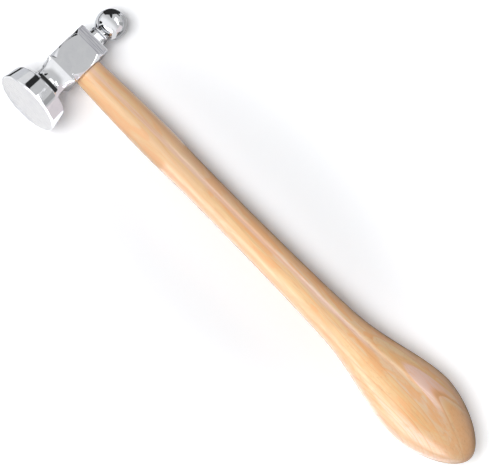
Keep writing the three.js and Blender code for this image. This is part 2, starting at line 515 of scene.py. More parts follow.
    def principled(self, **inputs: Any) -> None:
        """Makes a principled shader, fed with these inputs, the surface."""
        self.surface(self.fed("ShaderNodeBsdfPrincipled", **inputs))


@dataclass(frozen=True)
class Finish:
    """A finish that is written as nodes in the hammer's own millimetres."""

    name: ClassVar[str]

    def build(self, tool: ToolFrame) -> bpy.types.Material:
        """Makes the material.

        Args:
            tool: where the hammer's axes lie.

        Returns:
            The material.
        """
        sheet = Sheet.of_material(self.name)
        self.write(sheet, sheet.tool_space(tool))
        return sheet.owner

    def write(self, sheet: Sheet, place: Socket) -> None:
        """Writes the finish's own nodes.

        Args:
            sheet: the material's nodes.
            place: the hammer's own coordinates.
        """
        raise NotImplementedError


@dataclass(frozen=True)
class MirrorSteel(Finish):
    """Buffed tool steel: a mirror with the wheel's hairlines, and a striped band of painted dark reflection
    at the block's rear end.
    """

    name: ClassVar[str] = "mirror_steel"
    colour: Colour = (0.80, 0.81, 0.83, 1.0)
    cloud_colour: Colour = (0.76, 0.77, 0.80, 1.0)
    # Painted dark reflection: the colour of the striped band over the block's rear horns
    painted_reflection_colour: Colour = (0.53, 0.53, 0.58, 1.0)
    haze_grain: Place = (0.22, 0.22, 0.22)
    hairline_grain: Place = (9.0, 0.5, 9.0)
    reflection_stripe_grain: Place = (0.12, 3.6, 0.12)
    ripple_grain: Place = (0.35, 0.35, 0.35)
    haze_roughness: Ramp = (0.35, 0.72, 0.025, 0.075)
    hairline_roughness: Ramp = (0.62, 0.8, 0.0, 0.05)
    cloud_cover: Ramp = (0.3, 0.7, 0.0, 1.0)
    reflection_stripe_cover: Ramp = (0.38, 0.62, 0.25, 1.0)
    # Where the painted dark reflection lies along the head, from the rear notch to the rear face
    painted_reflection_start: Ramp = (5.9, 6.6, 0.0, 1.0)
    band_end: Ramp = (10.3, 10.75, 1.0, 0.0)
    ripple_depth: float = 0.00001
    ripple_strength: float = 0.5

    def write(self, sheet: Sheet, place: Socket) -> None:
        """Writes the haze, the hairlines, the ripple and the striped band of painted dark reflection.

        Args:
            sheet: the material's nodes.
            place: the hammer's own coordinates.
        """
        haze = sheet.noise(place, self.haze_grain, detail=5.0, stirred=0.4)
        hairlines = sheet.noise(place, self.hairline_grain, detail=2.0)
        reflection_stripes = sheet.noise(place, self.reflection_stripe_grain, detail=1.0)
        ripple = sheet.noise(place, self.ripple_grain, detail=2.0)
        rough = sheet.math("ADD", sheet.between(haze, self.haze_roughness),
                           sheet.between(hairlines, self.hairline_roughness))
        along = sheet.apart(place)[1]
        # Painted dark reflection: a darker band over the rear horns, broken into stripes along the head
        band = sheet.product(sheet.between(along, self.painted_reflection_start), sheet.between(along, self.band_end),
                             sheet.between(reflection_stripes, self.reflection_stripe_cover))
        tint = sheet.layered(
            self.colour,
            (sheet.between(haze, self.cloud_cover), self.cloud_colour),
            (band, self.painted_reflection_colour),
        )
        sheet.principled(base_color=tint, metallic=1.0, roughness=rough,
                         normal=sheet.bump(ripple, self.ripple_depth, self.ripple_strength))


@dataclass(frozen=True)
class GroundFace(Finish):
    """The striking face: dressed on a fine stone and wiped, so it is pale and satin."""

    name: ClassVar[str] = "ground_face"
    colour: Colour = (0.70, 0.70, 0.71, 1.0)
    patch_colour: Colour = (0.66, 0.66, 0.68, 1.0)
    line_grain: Place = (0.4, 1.0, 12.0)
    patch_grain: Place = (0.3, 0.3, 0.3)
    roughness: Ramp = (0.3, 0.7, 0.25, 0.36)
    patch_cover: Ramp = (0.4, 0.7, 0.0, 1.0)
    line_depth: float = 0.000004

    def write(self, sheet: Sheet, place: Socket) -> None:
        """Writes the stone's fine lines and the patches left by wiping.

        Args:
            sheet: the material's nodes.
            place: the hammer's own coordinates.
        """
        lines = sheet.noise(place, self.line_grain, detail=3.0)
        patches = sheet.noise(place, self.patch_grain, detail=4.0)
        tint = sheet.mix(sheet.between(patches, self.patch_cover), self.colour, self.patch_colour)
        sheet.principled(base_color=tint, metallic=1.0, roughness=sheet.between(lines, self.roughness),
                         normal=sheet.bump(lines, self.line_depth))


@dataclass(frozen=True)
class LacqueredWood(Finish):
    """Pale orange hardwood with a long grain, under clear gloss lacquer, with painted highlight, shade and
    light in its colour.
    """

    name: ClassVar[str] = "lacquered_wood"
    pale: Colour = (0.83, 0.585, 0.385, 1.0)
    golden: Colour = (0.83, 0.51, 0.21, 1.0)
    # Pink of the wood's figure, also used for the painted reflection on the island and the painted highlight
    rosy_figure_and_highlight: Colour = (0.87, 0.57, 0.485, 1.0)
    yellow: Colour = (0.88, 0.59, 0.28, 1.0)
    deep: Colour = (0.87, 0.395, 0.125, 1.0)
    vessel: Colour = (0.58, 0.29, 0.13, 1.0)
    # Painted shade towards the head end of the handle
    head_end_shade: Colour = (0.63, 0.4, 0.25, 1.0)
    # Painted light towards the butt
    butt: Colour = (0.98, 0.6, 0.32, 1.0)
    ring_spacing: float = 1.5
    ring_slope: float = 0.075
    ring_bow: float = 24.0
    ring_tip: float = 0.12
    ring_wander: float = 2.2
    ring_unevenness: float = 1.6
    crown_line: float = 5.0
    # Painted highlight: where the pink line of a mirrored window lies across the handle, and how far it
    # wanders
    painted_highlight_line: float = 1.1
    painted_highlight_wander: float = 2.0
    cloud_grain: Place = (0.009, 0.1, 0.1)
    mottle_grain: Place = (0.042, 0.2, 0.2)
    wander_grain: Place = (0.012, 0.06, 0.06)
    vein_grain: Place = (0.006, 0.42, 0.42)
    fibre_grain: Place = (0.02, 1.3, 1.3)
    pore_grain: Place = (0.14, 5.0, 5.0)
    spacing_grain: float = 0.45
    richness_grain: float = 0.9
    cloud_cover: Ramp = (0.35, 0.6, 0.0, 1.0)
    flame_cover: Ramp = (0.5, 0.6, 0.0, 0.6)
    yellow_cover: Ramp = (0.38, 0.46, 0.6, 0.0)
    vein_cover: Ramp = (0.0, 0.02, 1.0, 0.0)
    vein_depth: float = 0.25
    fibre_cover: Ramp = (0.48, 0.72, 0.0, 0.35)
    pore_cover: Ramp = (0.6, 0.76, 0.0, 0.3)
    year_rise: Ramp = (0.5, 0.93, 0.0, 1.0)
    year_end: Ramp = (0.94, 1.0, 1.0, 0.0)
    richness: Ramp = (0.35, 0.65, 0.3, 0.85)
    line_fade: Ramp = (120.0, 190.0, 0.35, 1.0)
    line_core: float = 3.0
    core_cover: float = 0.8
    island_start: Ramp = (13.6, 13.85, 0.0, 1.0)
    island_end: Ramp = (14.8, 15.4, 1.0, 0.0)
    island_fade: Ramp = (208.0, 228.0, 0.85, 0.0)
    past_island: Ramp = (15.1, 15.6, 0.0, 0.7)
    # Painted shade: a deeper orange over the handle's shaded side, moving outwards as the bulb widens
    shaded_flank_drift: Ramp = (150.0, 206.0, 0.0, 9.0)
    shaded_flank_cover: Ramp = (1.6, 4.2, 0.0, 0.5)
    # Painted highlight: how wide the pink line is, and where it fades out on the bulb
    painted_highlight_cover: Ramp = (0.3, 1.6, 0.65, 0.0)
    painted_highlight_fade: Ramp = (165.0, 205.0, 1.0, 0.0)
    # Painted shade: how far from the head the darker colour reaches
    head_end_shade_cover: Ramp = (70.0, 140.0, 0.3, 0.0)
    # Painted light: where the lighter colour rises towards the butt
    butt_light_cover: Ramp = (212.0, 236.0, 0.0, 0.45)
    roughness: Ramp = (0.3, 0.7, 0.32, 0.45)
    pore_depth: float = 0.00002
    pore_strength: float = 0.4
    lacquer_weight: float = 0.9
    lacquer_roughness: float = 0.16
    lacquer_ior: float = 1.5

    def write(self, sheet: Sheet, place: Socket) -> None:
        """Writes the wood from its broad clouds down to its pores, the painted highlight, shade and light,
        and the lacquer over it.

        Args:
            sheet: the material's nodes.
            place: the hammer's own coordinates.
        """
        along, across, _ = sheet.apart(place)
        shell = self.shells(sheet, place)
        clouds = sheet.noise(place, self.cloud_grain, detail=2.0)
        mottle = sheet.noise(place, self.mottle_grain, detail=3.0, stirred=1.2)
        vein = sheet.math("SUBTRACT", sheet.noise(place, self.vein_grain, detail=2.0), 0.5)
        veins = sheet.between(sheet.math("ABSOLUTE", vein), self.vein_cover)
        fibres = sheet.noise(place, self.fibre_grain, detail=3.0)
        pores = sheet.noise(place, self.pore_grain, detail=2.0)
        # The island's pink is partly the figure's own paler wood and partly a painted reflection of a window
        island = sheet.product(sheet.between(shell, self.island_start), sheet.between(shell, self.island_end),
                               sheet.between(along, self.island_fade))
        lines = sheet.product(self.late_wood(sheet, shell), sheet.between(along, self.line_fade))
        core = sheet.product(sheet.math("POWER", lines, self.line_core), self.core_cover)
        # Painted shade: a deeper orange over the handle's shaded side
        shaded_flank = sheet.math("SUBTRACT", across, sheet.between(along, self.shaded_flank_drift))
        # Painted highlight: a pink line along the stem where the lacquer mirrors a window, fading out on the
        # bulb
        from_painted_highlight = sheet.math("SUBTRACT", across, self.painted_highlight_line)
        from_painted_highlight = sheet.math("MULTIPLY_ADD", clouds, self.painted_highlight_wander, from_painted_highlight)
        painted_highlight = sheet.product(sheet.between(sheet.math("ABSOLUTE", from_painted_highlight), self.painted_highlight_cover),
                               sheet.between(along, self.painted_highlight_fade))
        colour = sheet.layered(
            self.pale,
            (sheet.between(clouds, self.cloud_cover), self.golden),
            (sheet.between(mottle, self.flame_cover), self.deep),
            (sheet.between(mottle, self.yellow_cover), self.yellow),
            (sheet.between(shell, self.past_island), self.deep),
            # partly the figure, partly painted reflection
            (island, self.rosy_figure_and_highlight),
            (lines, self.deep),
            (core, self.vessel),
            # painted shade on the shaded side
            (sheet.between(shaded_flank, self.shaded_flank_cover), self.deep),
            # painted highlight
            (painted_highlight, self.rosy_figure_and_highlight),
            # painted shade towards the head end
            (sheet.between(along, self.head_end_shade_cover), self.head_end_shade),
            # painted light towards the butt
            (sheet.between(along, self.butt_light_cover), self.butt),
            (sheet.between(fibres, self.fibre_cover), self.deep),
            (sheet.product(veins, self.vein_depth), self.vessel),
            (sheet.between(pores, self.pore_cover), self.vessel),
        )
        sheet.principled(base_color=colour, roughness=sheet.between(fibres, self.roughness),
                         normal=sheet.bump(pores, self.pore_depth, self.pore_strength),
                         coat_weight=self.lacquer_weight, coat_roughness=self.lacquer_roughness,
                         coat_ior=self.lacquer_ior)

    def shells(self, sheet: Sheet, place: Socket) -> Socket:
        """The bowed shells in which a flat-sawn blank grew: they make long arches that point to the head.

        Args:
            sheet: the material's nodes.
            place: the hammer's own coordinates.

        Returns:
            A count that rises from shell to shell.
        """
        along, across, up = sheet.apart(place)
        from_crown = sheet.math("SUBTRACT", across, self.crown_line)
        bow = sheet.math("DIVIDE", sheet.math("POWER", from_crown, 2.0), -self.ring_bow)
        shell = sheet.math("MULTIPLY_ADD", along, self.ring_slope, bow)
        shell = sheet.math("MULTIPLY_ADD", up, -self.ring_tip, shell)
        wander = sheet.math("SUBTRACT", sheet.noise(place, self.wander_grain, detail=2.0), 0.5)
        return sheet.math("MULTIPLY_ADD", wander, self.ring_wander, shell)

    def late_wood(self, sheet: Sheet, shell: Socket) -> Socket:
        """The thin darker line that ends each year, some wide and some hardly to be seen.

        Args:
            sheet: the material's nodes.
            shell: which shell a place is in.

        Returns:
            How much of the darker colour a place gets.
        """
        uneven = sheet.waver(shell, self.spacing_grain, detail=1.0)
        years = sheet.math("DIVIDE", shell, self.ring_spacing)
        years = sheet.math("MULTIPLY_ADD", uneven, self.ring_unevenness, years)
        year = sheet.math("FRACT", years)
        richness = sheet.waver(shell, self.richness_grain, detail=0.0)
        return sheet.product(sheet.between(year, self.year_rise), sheet.between(year, self.year_end),
                             sheet.between(richness, self.richness))


@dataclass(frozen=True)
class WedgeWood(Finish):
    """Dark hardwood seen on its end grain, bare and a little crushed by the hammer that drove it."""

    name: ClassVar[str] = "wedge_end_grain"
    colour: Colour = (0.36, 0.2, 0.11, 1.0)
    crushed: Colour = (0.2, 0.1, 0.05, 1.0)
    grain: Place = (0.1, 3.0, 3.0)
    crushed_cover: Ramp = (0.35, 0.7, 0.0, 1.0)
    roughness: Ramp = (0.3, 0.7, 0.55, 0.75)
    grain_depth: float = 0.00005

    def write(self, sheet: Sheet, place: Socket) -> None:
        """Writes the end grain.

        Args:
            sheet: the material's nodes.
            place: the hammer's own coordinates.
        """
        grain = sheet.noise(place, self.grain, detail=4.0)
        colour = sheet.mix(sheet.between(grain, self.crushed_cover), self.colour, self.crushed)
        sheet.principled(base_color=colour, roughness=sheet.between(grain, self.roughness),
                         normal=sheet.bump(grain, self.grain_depth))


@dataclass(frozen=True)
class DrivenSteel(Finish):
    """A plain mild steel wedge, dented on its end."""

    name: ClassVar[str] = "driven_steel"
    colour: Colour = (0.36, 0.37, 0.39, 1.0)
    dent_colour: Colour = (0.24, 0.22, 0.2, 1.0)
    dent_grain: Place = (1.4, 1.4, 1.4)
    dent_cover: Ramp = (0.4, 0.7, 0.0, 1.0)
    roughness: Ramp = (0.3, 0.7, 0.3, 0.55)
    dent_depth: float = 0.00008

    def write(self, sheet: Sheet, place: Socket) -> None:
        """Writes the dents.

        Args:
            sheet: the material's nodes.
            place: the hammer's own coordinates.
        """
        dents = sheet.noise(place, self.dent_grain, detail=4.0)
        tint = sheet.mix(sheet.between(dents, self.dent_cover), self.colour, self.dent_colour)
        sheet.principled(base_color=tint, metallic=1.0, roughness=sheet.between(dents, self.roughness),
                         normal=sheet.bump(dents, self.dent_depth))


def coat(piece: bpy.types.Object, tool: ToolFrame, *finishes: Finish) -> None:
    """Gives a piece its materials.

    Args:
        piece: the piece.
        tool: where the hammer's axes lie.
        finishes: its finishes, in the order of their numbers.
    """
    piece.data.materials.clear()
    for finish in finishes:
        piece.data.materials.append(finish.build(tool))


@dataclass
class Head:
    """The steel head: disc, waisted neck, cheek block with turned corners, collar, bead and ball.

    Sizes are in millimetres. A station is a place along the head, counted from the plane of the face's rim.
    """

    disc_front_radius: float = 15.39
    disc_back_radius: float = 14.05
    disc_thickness: float = 8.6
    front_rim_chamfer: float = 0.6
    back_rim_chamfer: float = 0.5
    face_flat_radius: float = 9.0
    face_crown: float = 0.35
    neck_radius: float = 6.55
    neck_cove_reach: float = 6.6
    neck_cove_radius: float = 12.9
    neck_waist_length: float = 0.3
    shoulder_length: float = 4.5
    cheek_half_width: float = 8.0
    front_horn_length: float = 1.8
    swell_length: float = 14.4
    swell_peak_from_notch: float = 8.0
    swell_radius: float = 20.0
    swell_peak_radius: float = 11.05
    rear_ramp_length: float = 2.0
    rear_horn_radius: float = 11.0
    rear_horn_length: float = 2.9
    rear_horn_chamfer: float = 0.5
    collar_half_width: float = 4.45
    collar_end_half_width: float = 4.0
    collar_length: float = 3.5
    collar_fillet: float = 0.8
    groove_depth: float = 0.55
    groove_length: float = 0.5
    bead_half_width: float = 4.4
    bead_length: float = 1.3
    ball_neck_radius: float = 3.6
    ball_radius: float = 7.04
    ball_neck_length: float = 0.75
    edge_ease: float = 0.22
    corner_ease: float = 0.3
    circle_share: float = 1 / 2
    square_share: float = 1 / 60
    collar_round_share: float = 0.28
    flare_over_share: float = 1.3
    squaring_power_share: float = 1.5
    notch_ease: float = 0.12
    horn_ease: float = 0.14
    groove_ease: float = 0.16
    corner_overreach: float = 4.0
    neck_overlap: float = 0.55
    block_lead: float = 0.6
    block_step: float = 0.15
    disc_step: float = 0.5
    collar_step: float = 0.4
    ground_depth: float = 0.01
    flat_points: int = 9
    crown_points: int = 13
    cove_steps: int = 48
    shoulder_steps: int = 60
    swell_points: int = 60
    edge_points: int = 6
    inward_points: int = 16
    fillet_steps: int = 8
    bead_steps: int = 14
    ball_steps: int = 90
    points_per_quarter: int = 56
    crowding: float = 0.75
    angles: np.ndarray = field(init=False, repr=False)

    def __post_init__(self) -> None:
        """Spaces the rings' points, closest at the block's corners."""
        even = np.arange(self.points_per_quarter) / self.points_per_quarter
        quarter = (even + self.crowding / (2 * np.pi) * np.sin(2 * np.pi * even)) * np.pi / 2
        self.angles = np.concatenate([quarter + np.pi / 2 * n for n in range(4)])

    @property
    def waist_start(self) -> float:
        """Station where the hollow behind the disc ends."""
        return self.disc_thickness + self.neck_cove_reach

    @property
    def shoulder_start(self) -> float:
        """Station where the neck starts to swell towards the block."""
        return self.waist_start + self.neck_waist_length

    @property
    def block_start(self) -> float:
        """Station of the cheek's front line."""
        return self.shoulder_start + self.shoulder_length

    @property
    def front_notch(self) -> float:
        """Station of the notch behind the front horns."""
        return self.block_start + self.front_horn_length

    @property
    def rear_notch(self) -> float:
        """Station of the notch before the rear horns."""
        return self.front_notch + self.swell_length

    @property
    def block_end(self) -> float:
        """Station of the block's rear face."""
        return self.rear_notch + self.rear_ramp_length + self.rear_horn_length

    @property
    def bead_start(self) -> float:
        """Station where the bead starts."""
        return self.block_end + self.collar_length + self.groove_length

    @property
    def bead_end(self) -> float:
        """Station where the bead ends."""
        return self.bead_start + self.bead_length

    @property
    def ball_centre(self) -> float:
        """Station of the ball's middle."""
        past_neck = math.sqrt(self.ball_radius ** 2 - self.ball_neck_radius ** 2)
        return self.bead_end + self.ball_neck_length + past_neck

    def disc_outline(self) -> list[Point]:
        """The face's flat and crown, and the disc's rim.

        Returns:
            Station and radius of each ring.
        """
        rim = self.disc_front_radius - self.front_rim_chamfer
        reach = rim - self.face_flat_radius
        shares = np.linspace(0, 1, self.crown_points)
        crown = [(self.face_crown * (s ** 2 - 1), self.face_flat_radius + reach * s) for s in shares]
        sides = [
            crown[-1],
            (self.front_rim_chamfer, self.disc_front_radius),
            (self.disc_thickness - self.back_rim_chamfer, self.disc_back_radius),
            (self.disc_thickness, self.disc_back_radius - self.back_rim_chamfer),
            (self.disc_thickness, self.neck_cove_radius),
        ]
        radii = np.linspace(1, self.face_flat_radius, self.flat_points)
        flat = [(-self.face_crown, radius) for radius in radii]
        return flat + crown[1:-1] + divided(eased(sides, self.edge_ease), self.disc_step)

    def neck_outline(self) -> list[Point]:
        """The hollow behind the disc, the waist, and the hollow that runs out past the block's flats.

        Returns:
            Station and half width of each ring.
        """
        depth = self.neck_cove_radius - self.neck_radius
        cove = arc((self.waist_start, self.neck_cove_radius), (self.neck_cove_reach, depth),
                   -2 * QUARTER, -QUARTER, self.cove_steps)
        rise = self.cheek_half_width - self.neck_radius
        sweep_radius = (self.shoulder_length ** 2 + rise ** 2) / (2 * rise)
        sweep = math.asin(self.shoulder_length / sweep_radius) * self.flare_over_share
        shoulder = arc((self.shoulder_start, self.neck_radius + sweep_radius), (sweep_radius, sweep_radius),
                       -QUARTER, sweep - QUARTER, self.shoulder_steps)
        return cove[1:] + shoulder

    def rear_outline(self) -> list[Point]:
        """The collar, its groove and the bead.

        Returns:
            Station and half width of each ring.
        """
        fillet = arc((self.block_end + self.collar_fillet, self.collar_half_width + self.collar_fillet),
                     (self.collar_fillet, self.collar_fillet), -2 * QUARTER, -QUARTER, self.fillet_steps)
        foot = self.collar_end_half_width - self.groove_depth
        bead = arc((self.bead_start + self.bead_length / 2, foot),
                   (self.bead_length / 2, self.bead_half_width - foot), 2 * QUARTER, 0, self.bead_steps)
        collar_end = self.block_end + self.collar_length
        groove = [fillet[-1], (collar_end, self.collar_end_half_width), (collar_end, foot), bead[0]]
        return fillet[:-1] + divided(eased(groove, self.groove_ease), self.collar_step) + bead[1:]

    def ball_outline(self) -> list[Point]:
        """The ball, from its neck to just short of its end.

        Returns:
            Station and radius of each ring.
        """
        start = math.pi - math.asin(self.ball_neck_radius / self.ball_radius)
        ball = arc((self.ball_centre, 0), (self.ball_radius, self.ball_radius), start, 0, self.ball_steps)
        neck = (self.bead_end + self.ball_neck_length / 4, self.ball_neck_radius)
        return [neck] + ball[:-1]

    def corner_radius(self, stations: np.ndarray) -> np.ndarray:
        """Radius to which the lathe has turned the block's corners.

        Args:
            stations: stations along the head.

        Returns:
            The radius at each of them.
        """
        peak = self.front_notch + self.swell_peak_from_notch
        along = np.linspace(self.front_notch, self.rear_notch, self.swell_points)
        drop = self.swell_radius - np.sqrt(self.swell_radius ** 2 - (along - peak) ** 2)
        swell = list(zip(along, self.swell_peak_radius - drop))
        bar_corner = self.cheek_half_width * math.sqrt(2)
        front = [(self.block_start, bar_corner), swell[0], swell[1]]
        rear = [
            swell[-2],
            swell[-1],
            (self.rear_notch + self.rear_ramp_length, self.rear_horn_radius),
            (self.block_end - self.rear_horn_chamfer, self.rear_horn_radius),
            (self.block_end, self.rear_horn_radius - self.rear_horn_chamfer),
        ]
        outline = [(self.shoulder_start, bar_corner + self.corner_overreach)]
        outline += eased(front, self.notch_ease)[:-1] + swell[1:-2] + eased(rear, self.horn_ease)
        places, radii = zip(*outline)
        return np.interp(stations, places, radii)

    def blank(self, stations: np.ndarray) -> np.ndarray:
        """The square bar with its turned corners.

        Args:
            stations: stations along the head.

        Returns:
            The bar's reach, for stations down and angles across.
        """
        bar = self.cheek_half_width / np.maximum(np.abs(np.sin(self.angles)), np.abs(np.cos(self.angles)))
        corner = self.corner_radius(stations)[:, None]
        return soft_min(np.broadcast_to(bar, (len(stations), len(bar))), corner, self.corner_ease)

    def squared(self, outline: list[Point], share: float | np.ndarray) -> Rings:
        """Squares a turning.

        Args:
            outline: station and half width of each ring.
            share: how square its rings are, for all of them or one by one.

        Returns:
            The rings.
        """
        table = np.array(outline)
        shares = np.broadcast_to(share, len(table))
        reach = [half * superellipse(self.angles, one) for half, one in zip(table[:, 1], shares)]
        return table[:, 0], np.stack(reach)

    def neck_rings(self) -> Rings:
        """The neck, round at the disc and sharp-cornered where it meets the block.

        Returns:
            The rings.
        """
        outline = self.neck_outline()
        length = self.block_start - self.disc_thickness
        travelled = np.clip((np.array(outline)[:, 0] - self.disc_thickness) / length, 0, 1)
        turn = self.square_share - self.circle_share
        share = self.circle_share + turn * travelled ** self.squaring_power_share
        stations, reach = self.squared(outline, share)
        past = stations > self.shoulder_start
        reach[past] = soft_min(reach[past], self.blank(stations[past]), self.corner_ease)
        kept = stations < self.block_start + self.neck_overlap
        return stations[kept], reach[kept]

    def block_rings(self) -> Rings:
        """The block, from the cheek's front line to its rear face and in to the collar.

        Returns:
            The rings.
        """
        body_end = self.block_end - self.edge_ease
        stations = np.arange(self.block_start + self.block_lead, body_end, self.block_step)
        angles = np.linspace(0, QUARTER, self.edge_points)
        edge_stations = body_end + self.edge_ease * np.sin(angles)
        edge = self.blank(edge_stations) - self.edge_ease * (1 - np.cos(angles))[:, None]
        foot_half = self.collar_half_width + self.collar_fillet
        foot = foot_half * superellipse(self.angles, self.collar_round_share)
        inward = np.linspace(0, 1, self.inward_points)[1:-1, None]
        face = edge[-1] * (1 - inward) + foot * inward
        return (np.concatenate([stations, edge_stations, np.full(len(face), self.block_end)]),
                np.concatenate([self.blank(stations), edge, face]))

    def build(self, tool: ToolFrame) -> bpy.types.Object:
        """Makes the head, before its eye is cut.

        Args:
            tool: where the hammer's axes lie.

        Returns:
            The head.
        """
        stations, reach = (np.concatenate(rows) for rows in zip(
            self.squared(self.disc_outline(), self.circle_share),
            self.neck_rings(),
            self.block_rings(),
            self.squared(self.rear_outline(), self.collar_round_share),
            self.squared(self.ball_outline(), self.circle_share),
        ))
        along = np.broadcast_to((stations - tool.head_centre)[:, None], reach.shape)
        rings = np.stack([reach * np.sin(self.angles), along, reach * np.cos(self.angles)], -1)
        return add_object(ring_mesh("forged_head", tool.lay_down(rings)))

    def dress(self, head: bpy.types.Object, tool: ToolFrame) -> None:
        """Polishes the head all over, apart from the ground face, and joins it to the frame.

        Args:
            head: the head.
            tool: where the hammer's axes lie.
        """
        coat(head, tool, MirrorSteel(), GroundFace())
        back = tool.matrix.inverted()
        centres = np.empty(len(head.data.polygons) * 3)
        head.data.polygons.foreach_get("center", centres)
        turn = np.array(back.to_3x3())
        along = (centres.reshape(-1, 3) @ turn.T + np.array(back.translation))[:, 1] / MILLIMETRE
        ground = along < -tool.head_centre - self.ground_depth
        head.data.polygons.foreach_set("material_index", ground.astype(np.int32))
        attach(head, "root")
        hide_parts("hammer_head")


@dataclass
class Handle:
    """The turned handle: a slim stem with a slight swell, a large bulb, and a tenon through the eye.

    Sizes are in millimetres. The outline runs through knots, given by their stations below the cheek and the
    half widths and half thicknesses there. Each stretch between two knots is a curve with two pulls: how far
    along and how far across the stretch the first one lies, and then the second.
    """

    cheek_half_width: float = 8.0
    clearance: float = 0.3
    tenon_proud: float = 0.0
    tenon_ease: float = 0.4
    fit: float = 0.04
    eye_half_length: float = 6.0
    eye_half_width: float = 4.4
    eye_foot_flare: float = 0.35
    eye_top_flare: float = 0.8
    widths: tuple[float, ...] = (6.8, 8.0, 7.55, 9.1, 17.9, 0.0)
    thicknesses: tuple[float, ...] = (5.6, 6.7, 6.5, 7.6, 13.49, 0.0)
    stations: tuple[float, ...] = (0.3, 44.0, 68.0, 155.0, 205.3, 237.4)
    pulls: tuple[tuple[float, float, float, float], ...] = (
        (0.32, 0.62, 0.68, 1.0),
        (0.35, 0.0, 0.6, 1.0),
        (0.45, 0.0, 0.75, 0.3),
        (0.4, 0.13, 0.72, 1.0),
        (0.4, 0.0, 1.0, 0.5),
    )
    steps: tuple[int, ...] = (30, 16, 44, 44, 60)
    tenon_edge_points: int = 5
    tenon_points: int = 24
    points_around: int = 128
    cutter_reach: float = 4.0

    def eye_reach(self, along: float) -> Point:
        """The eye's size where the handle passes through it.

        Args:
            along: a place along the handle's axis, counted from the middle of the block.

        Returns:
            The eye's half length and half width.
        """
        share = abs(along) / self.cheek_half_width
        flare = (self.eye_top_flare if along < 0 else self.eye_foot_flare) * share
        return self.eye_half_length + flare, self.eye_half_width + flare

    def stretch(self, n: int, halves: tuple[float, ...]) -> np.ndarray:
        """One stretch of the handle's outline.

        Args:
            n: which stretch, counted from the head.
            halves: half widths or half thicknesses at the knots.

        Returns:
            Rows of place along the axis and half size.
        """
        start = np.array((self.stations[n] + self.cheek_half_width, halves[n]))
        end = np.array((self.stations[n + 1] + self.cheek_half_width, halves[n + 1]))
        along_first, rise_first, along_second, rise_second = self.pulls[n]
        first = start + (end - start) * (along_first, rise_first)
        second = start + (end - start) * (along_second, rise_second)
        t = np.linspace(0, 1, self.steps[n] + 1)[:, None]
        return ((1 - t) ** 3 * start + 3 * t * (1 - t) ** 2 * first
                + 3 * t ** 2 * (1 - t) * second + t ** 3 * end)

    def outline(self) -> np.ndarray:
        """The whole handle, from the tenon's end to the butt.

        Returns:
            Rows of place along the axis, half width and half thickness.
        """
        rows = []
        top = -self.cheek_half_width - self.tenon_proud
        foot = self.cheek_half_width + self.clearance
        for angle in np.linspace(0, QUARTER, self.tenon_edge_points):
            along = top + self.tenon_ease * (1 - math.cos(angle))
            inset = self.tenon_ease * (1 - math.sin(angle)) + self.fit
            long_half, short_half = self.eye_reach(along)
            rows.append((along, long_half - inset, short_half - inset))
        for along in np.linspace(top + self.tenon_ease, foot, self.tenon_points)[1:]:
            long_half, short_half = self.eye_reach(along)
            rows.append((along, long_half - self.fit, short_half - self.fit))
        for n in range(len(self.pulls)):
            shared = 1 if n else 0
            wide = self.stretch(n, self.widths)[shared:]
            thick = self.stretch(n, self.thicknesses)[shared:]
            rows.extend((w[0], w[1], t[1]) for w, t in zip(wide, thick))
        return np.array(rows[:-1])

    def rings_of(self, rows: np.ndarray, tool: ToolFrame) -> np.ndarray:
        """Rings of an oval bar along the handle's axis, in the row frame.

        Args:
            rows: place along the axis, half width and half thickness.
            tool: where the hammer's axes lie.

        Returns:
            The rings in metres.
        """
        angles = np.linspace(0, 2 * math.pi, self.points_around, endpoint=False)
        along = np.broadcast_to(rows[:, 0:1], (len(rows), len(angles)))
        rings = np.stack([along, rows[:, 1:2] * np.cos(angles), rows[:, 2:3] * np.sin(angles)], -1)
        return tool.lay_down(rings)

    def eye_cutter(self, tool: ToolFrame) -> bpy.types.Object:
        """Makes the oval that is cut through the block.

        Args:
            tool: where the hammer's axes lie.

        Returns:
            The cutter.
        """
        past = self.cheek_half_width + self.cutter_reach
        rows = np.array([(along, *self.eye_reach(along)) for along in (-past, 0.0, past)])
        return add_object(ring_mesh("eye_cutter", self.rings_of(rows, tool)))

    def build(self, tool: ToolFrame) -> bpy.types.Object:
        """Makes the handle.

        Args:
            tool: where the hammer's axes lie.

        Returns:
            The handle, before its end is slotted for the wedges.
        """
        return add_object(ring_mesh("turned_handle", self.rings_of(self.outline(), tool)))

    def dress(self, handle: bpy.types.Object, tool: ToolFrame) -> None:
        """Lacquers the handle and joins it to the frame.

        Args:
            handle: the handle.
            tool: where the hammer's axes lie.
        """
        coat(handle, tool, LacqueredWood())
        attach(handle, "root")
        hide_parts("handle")


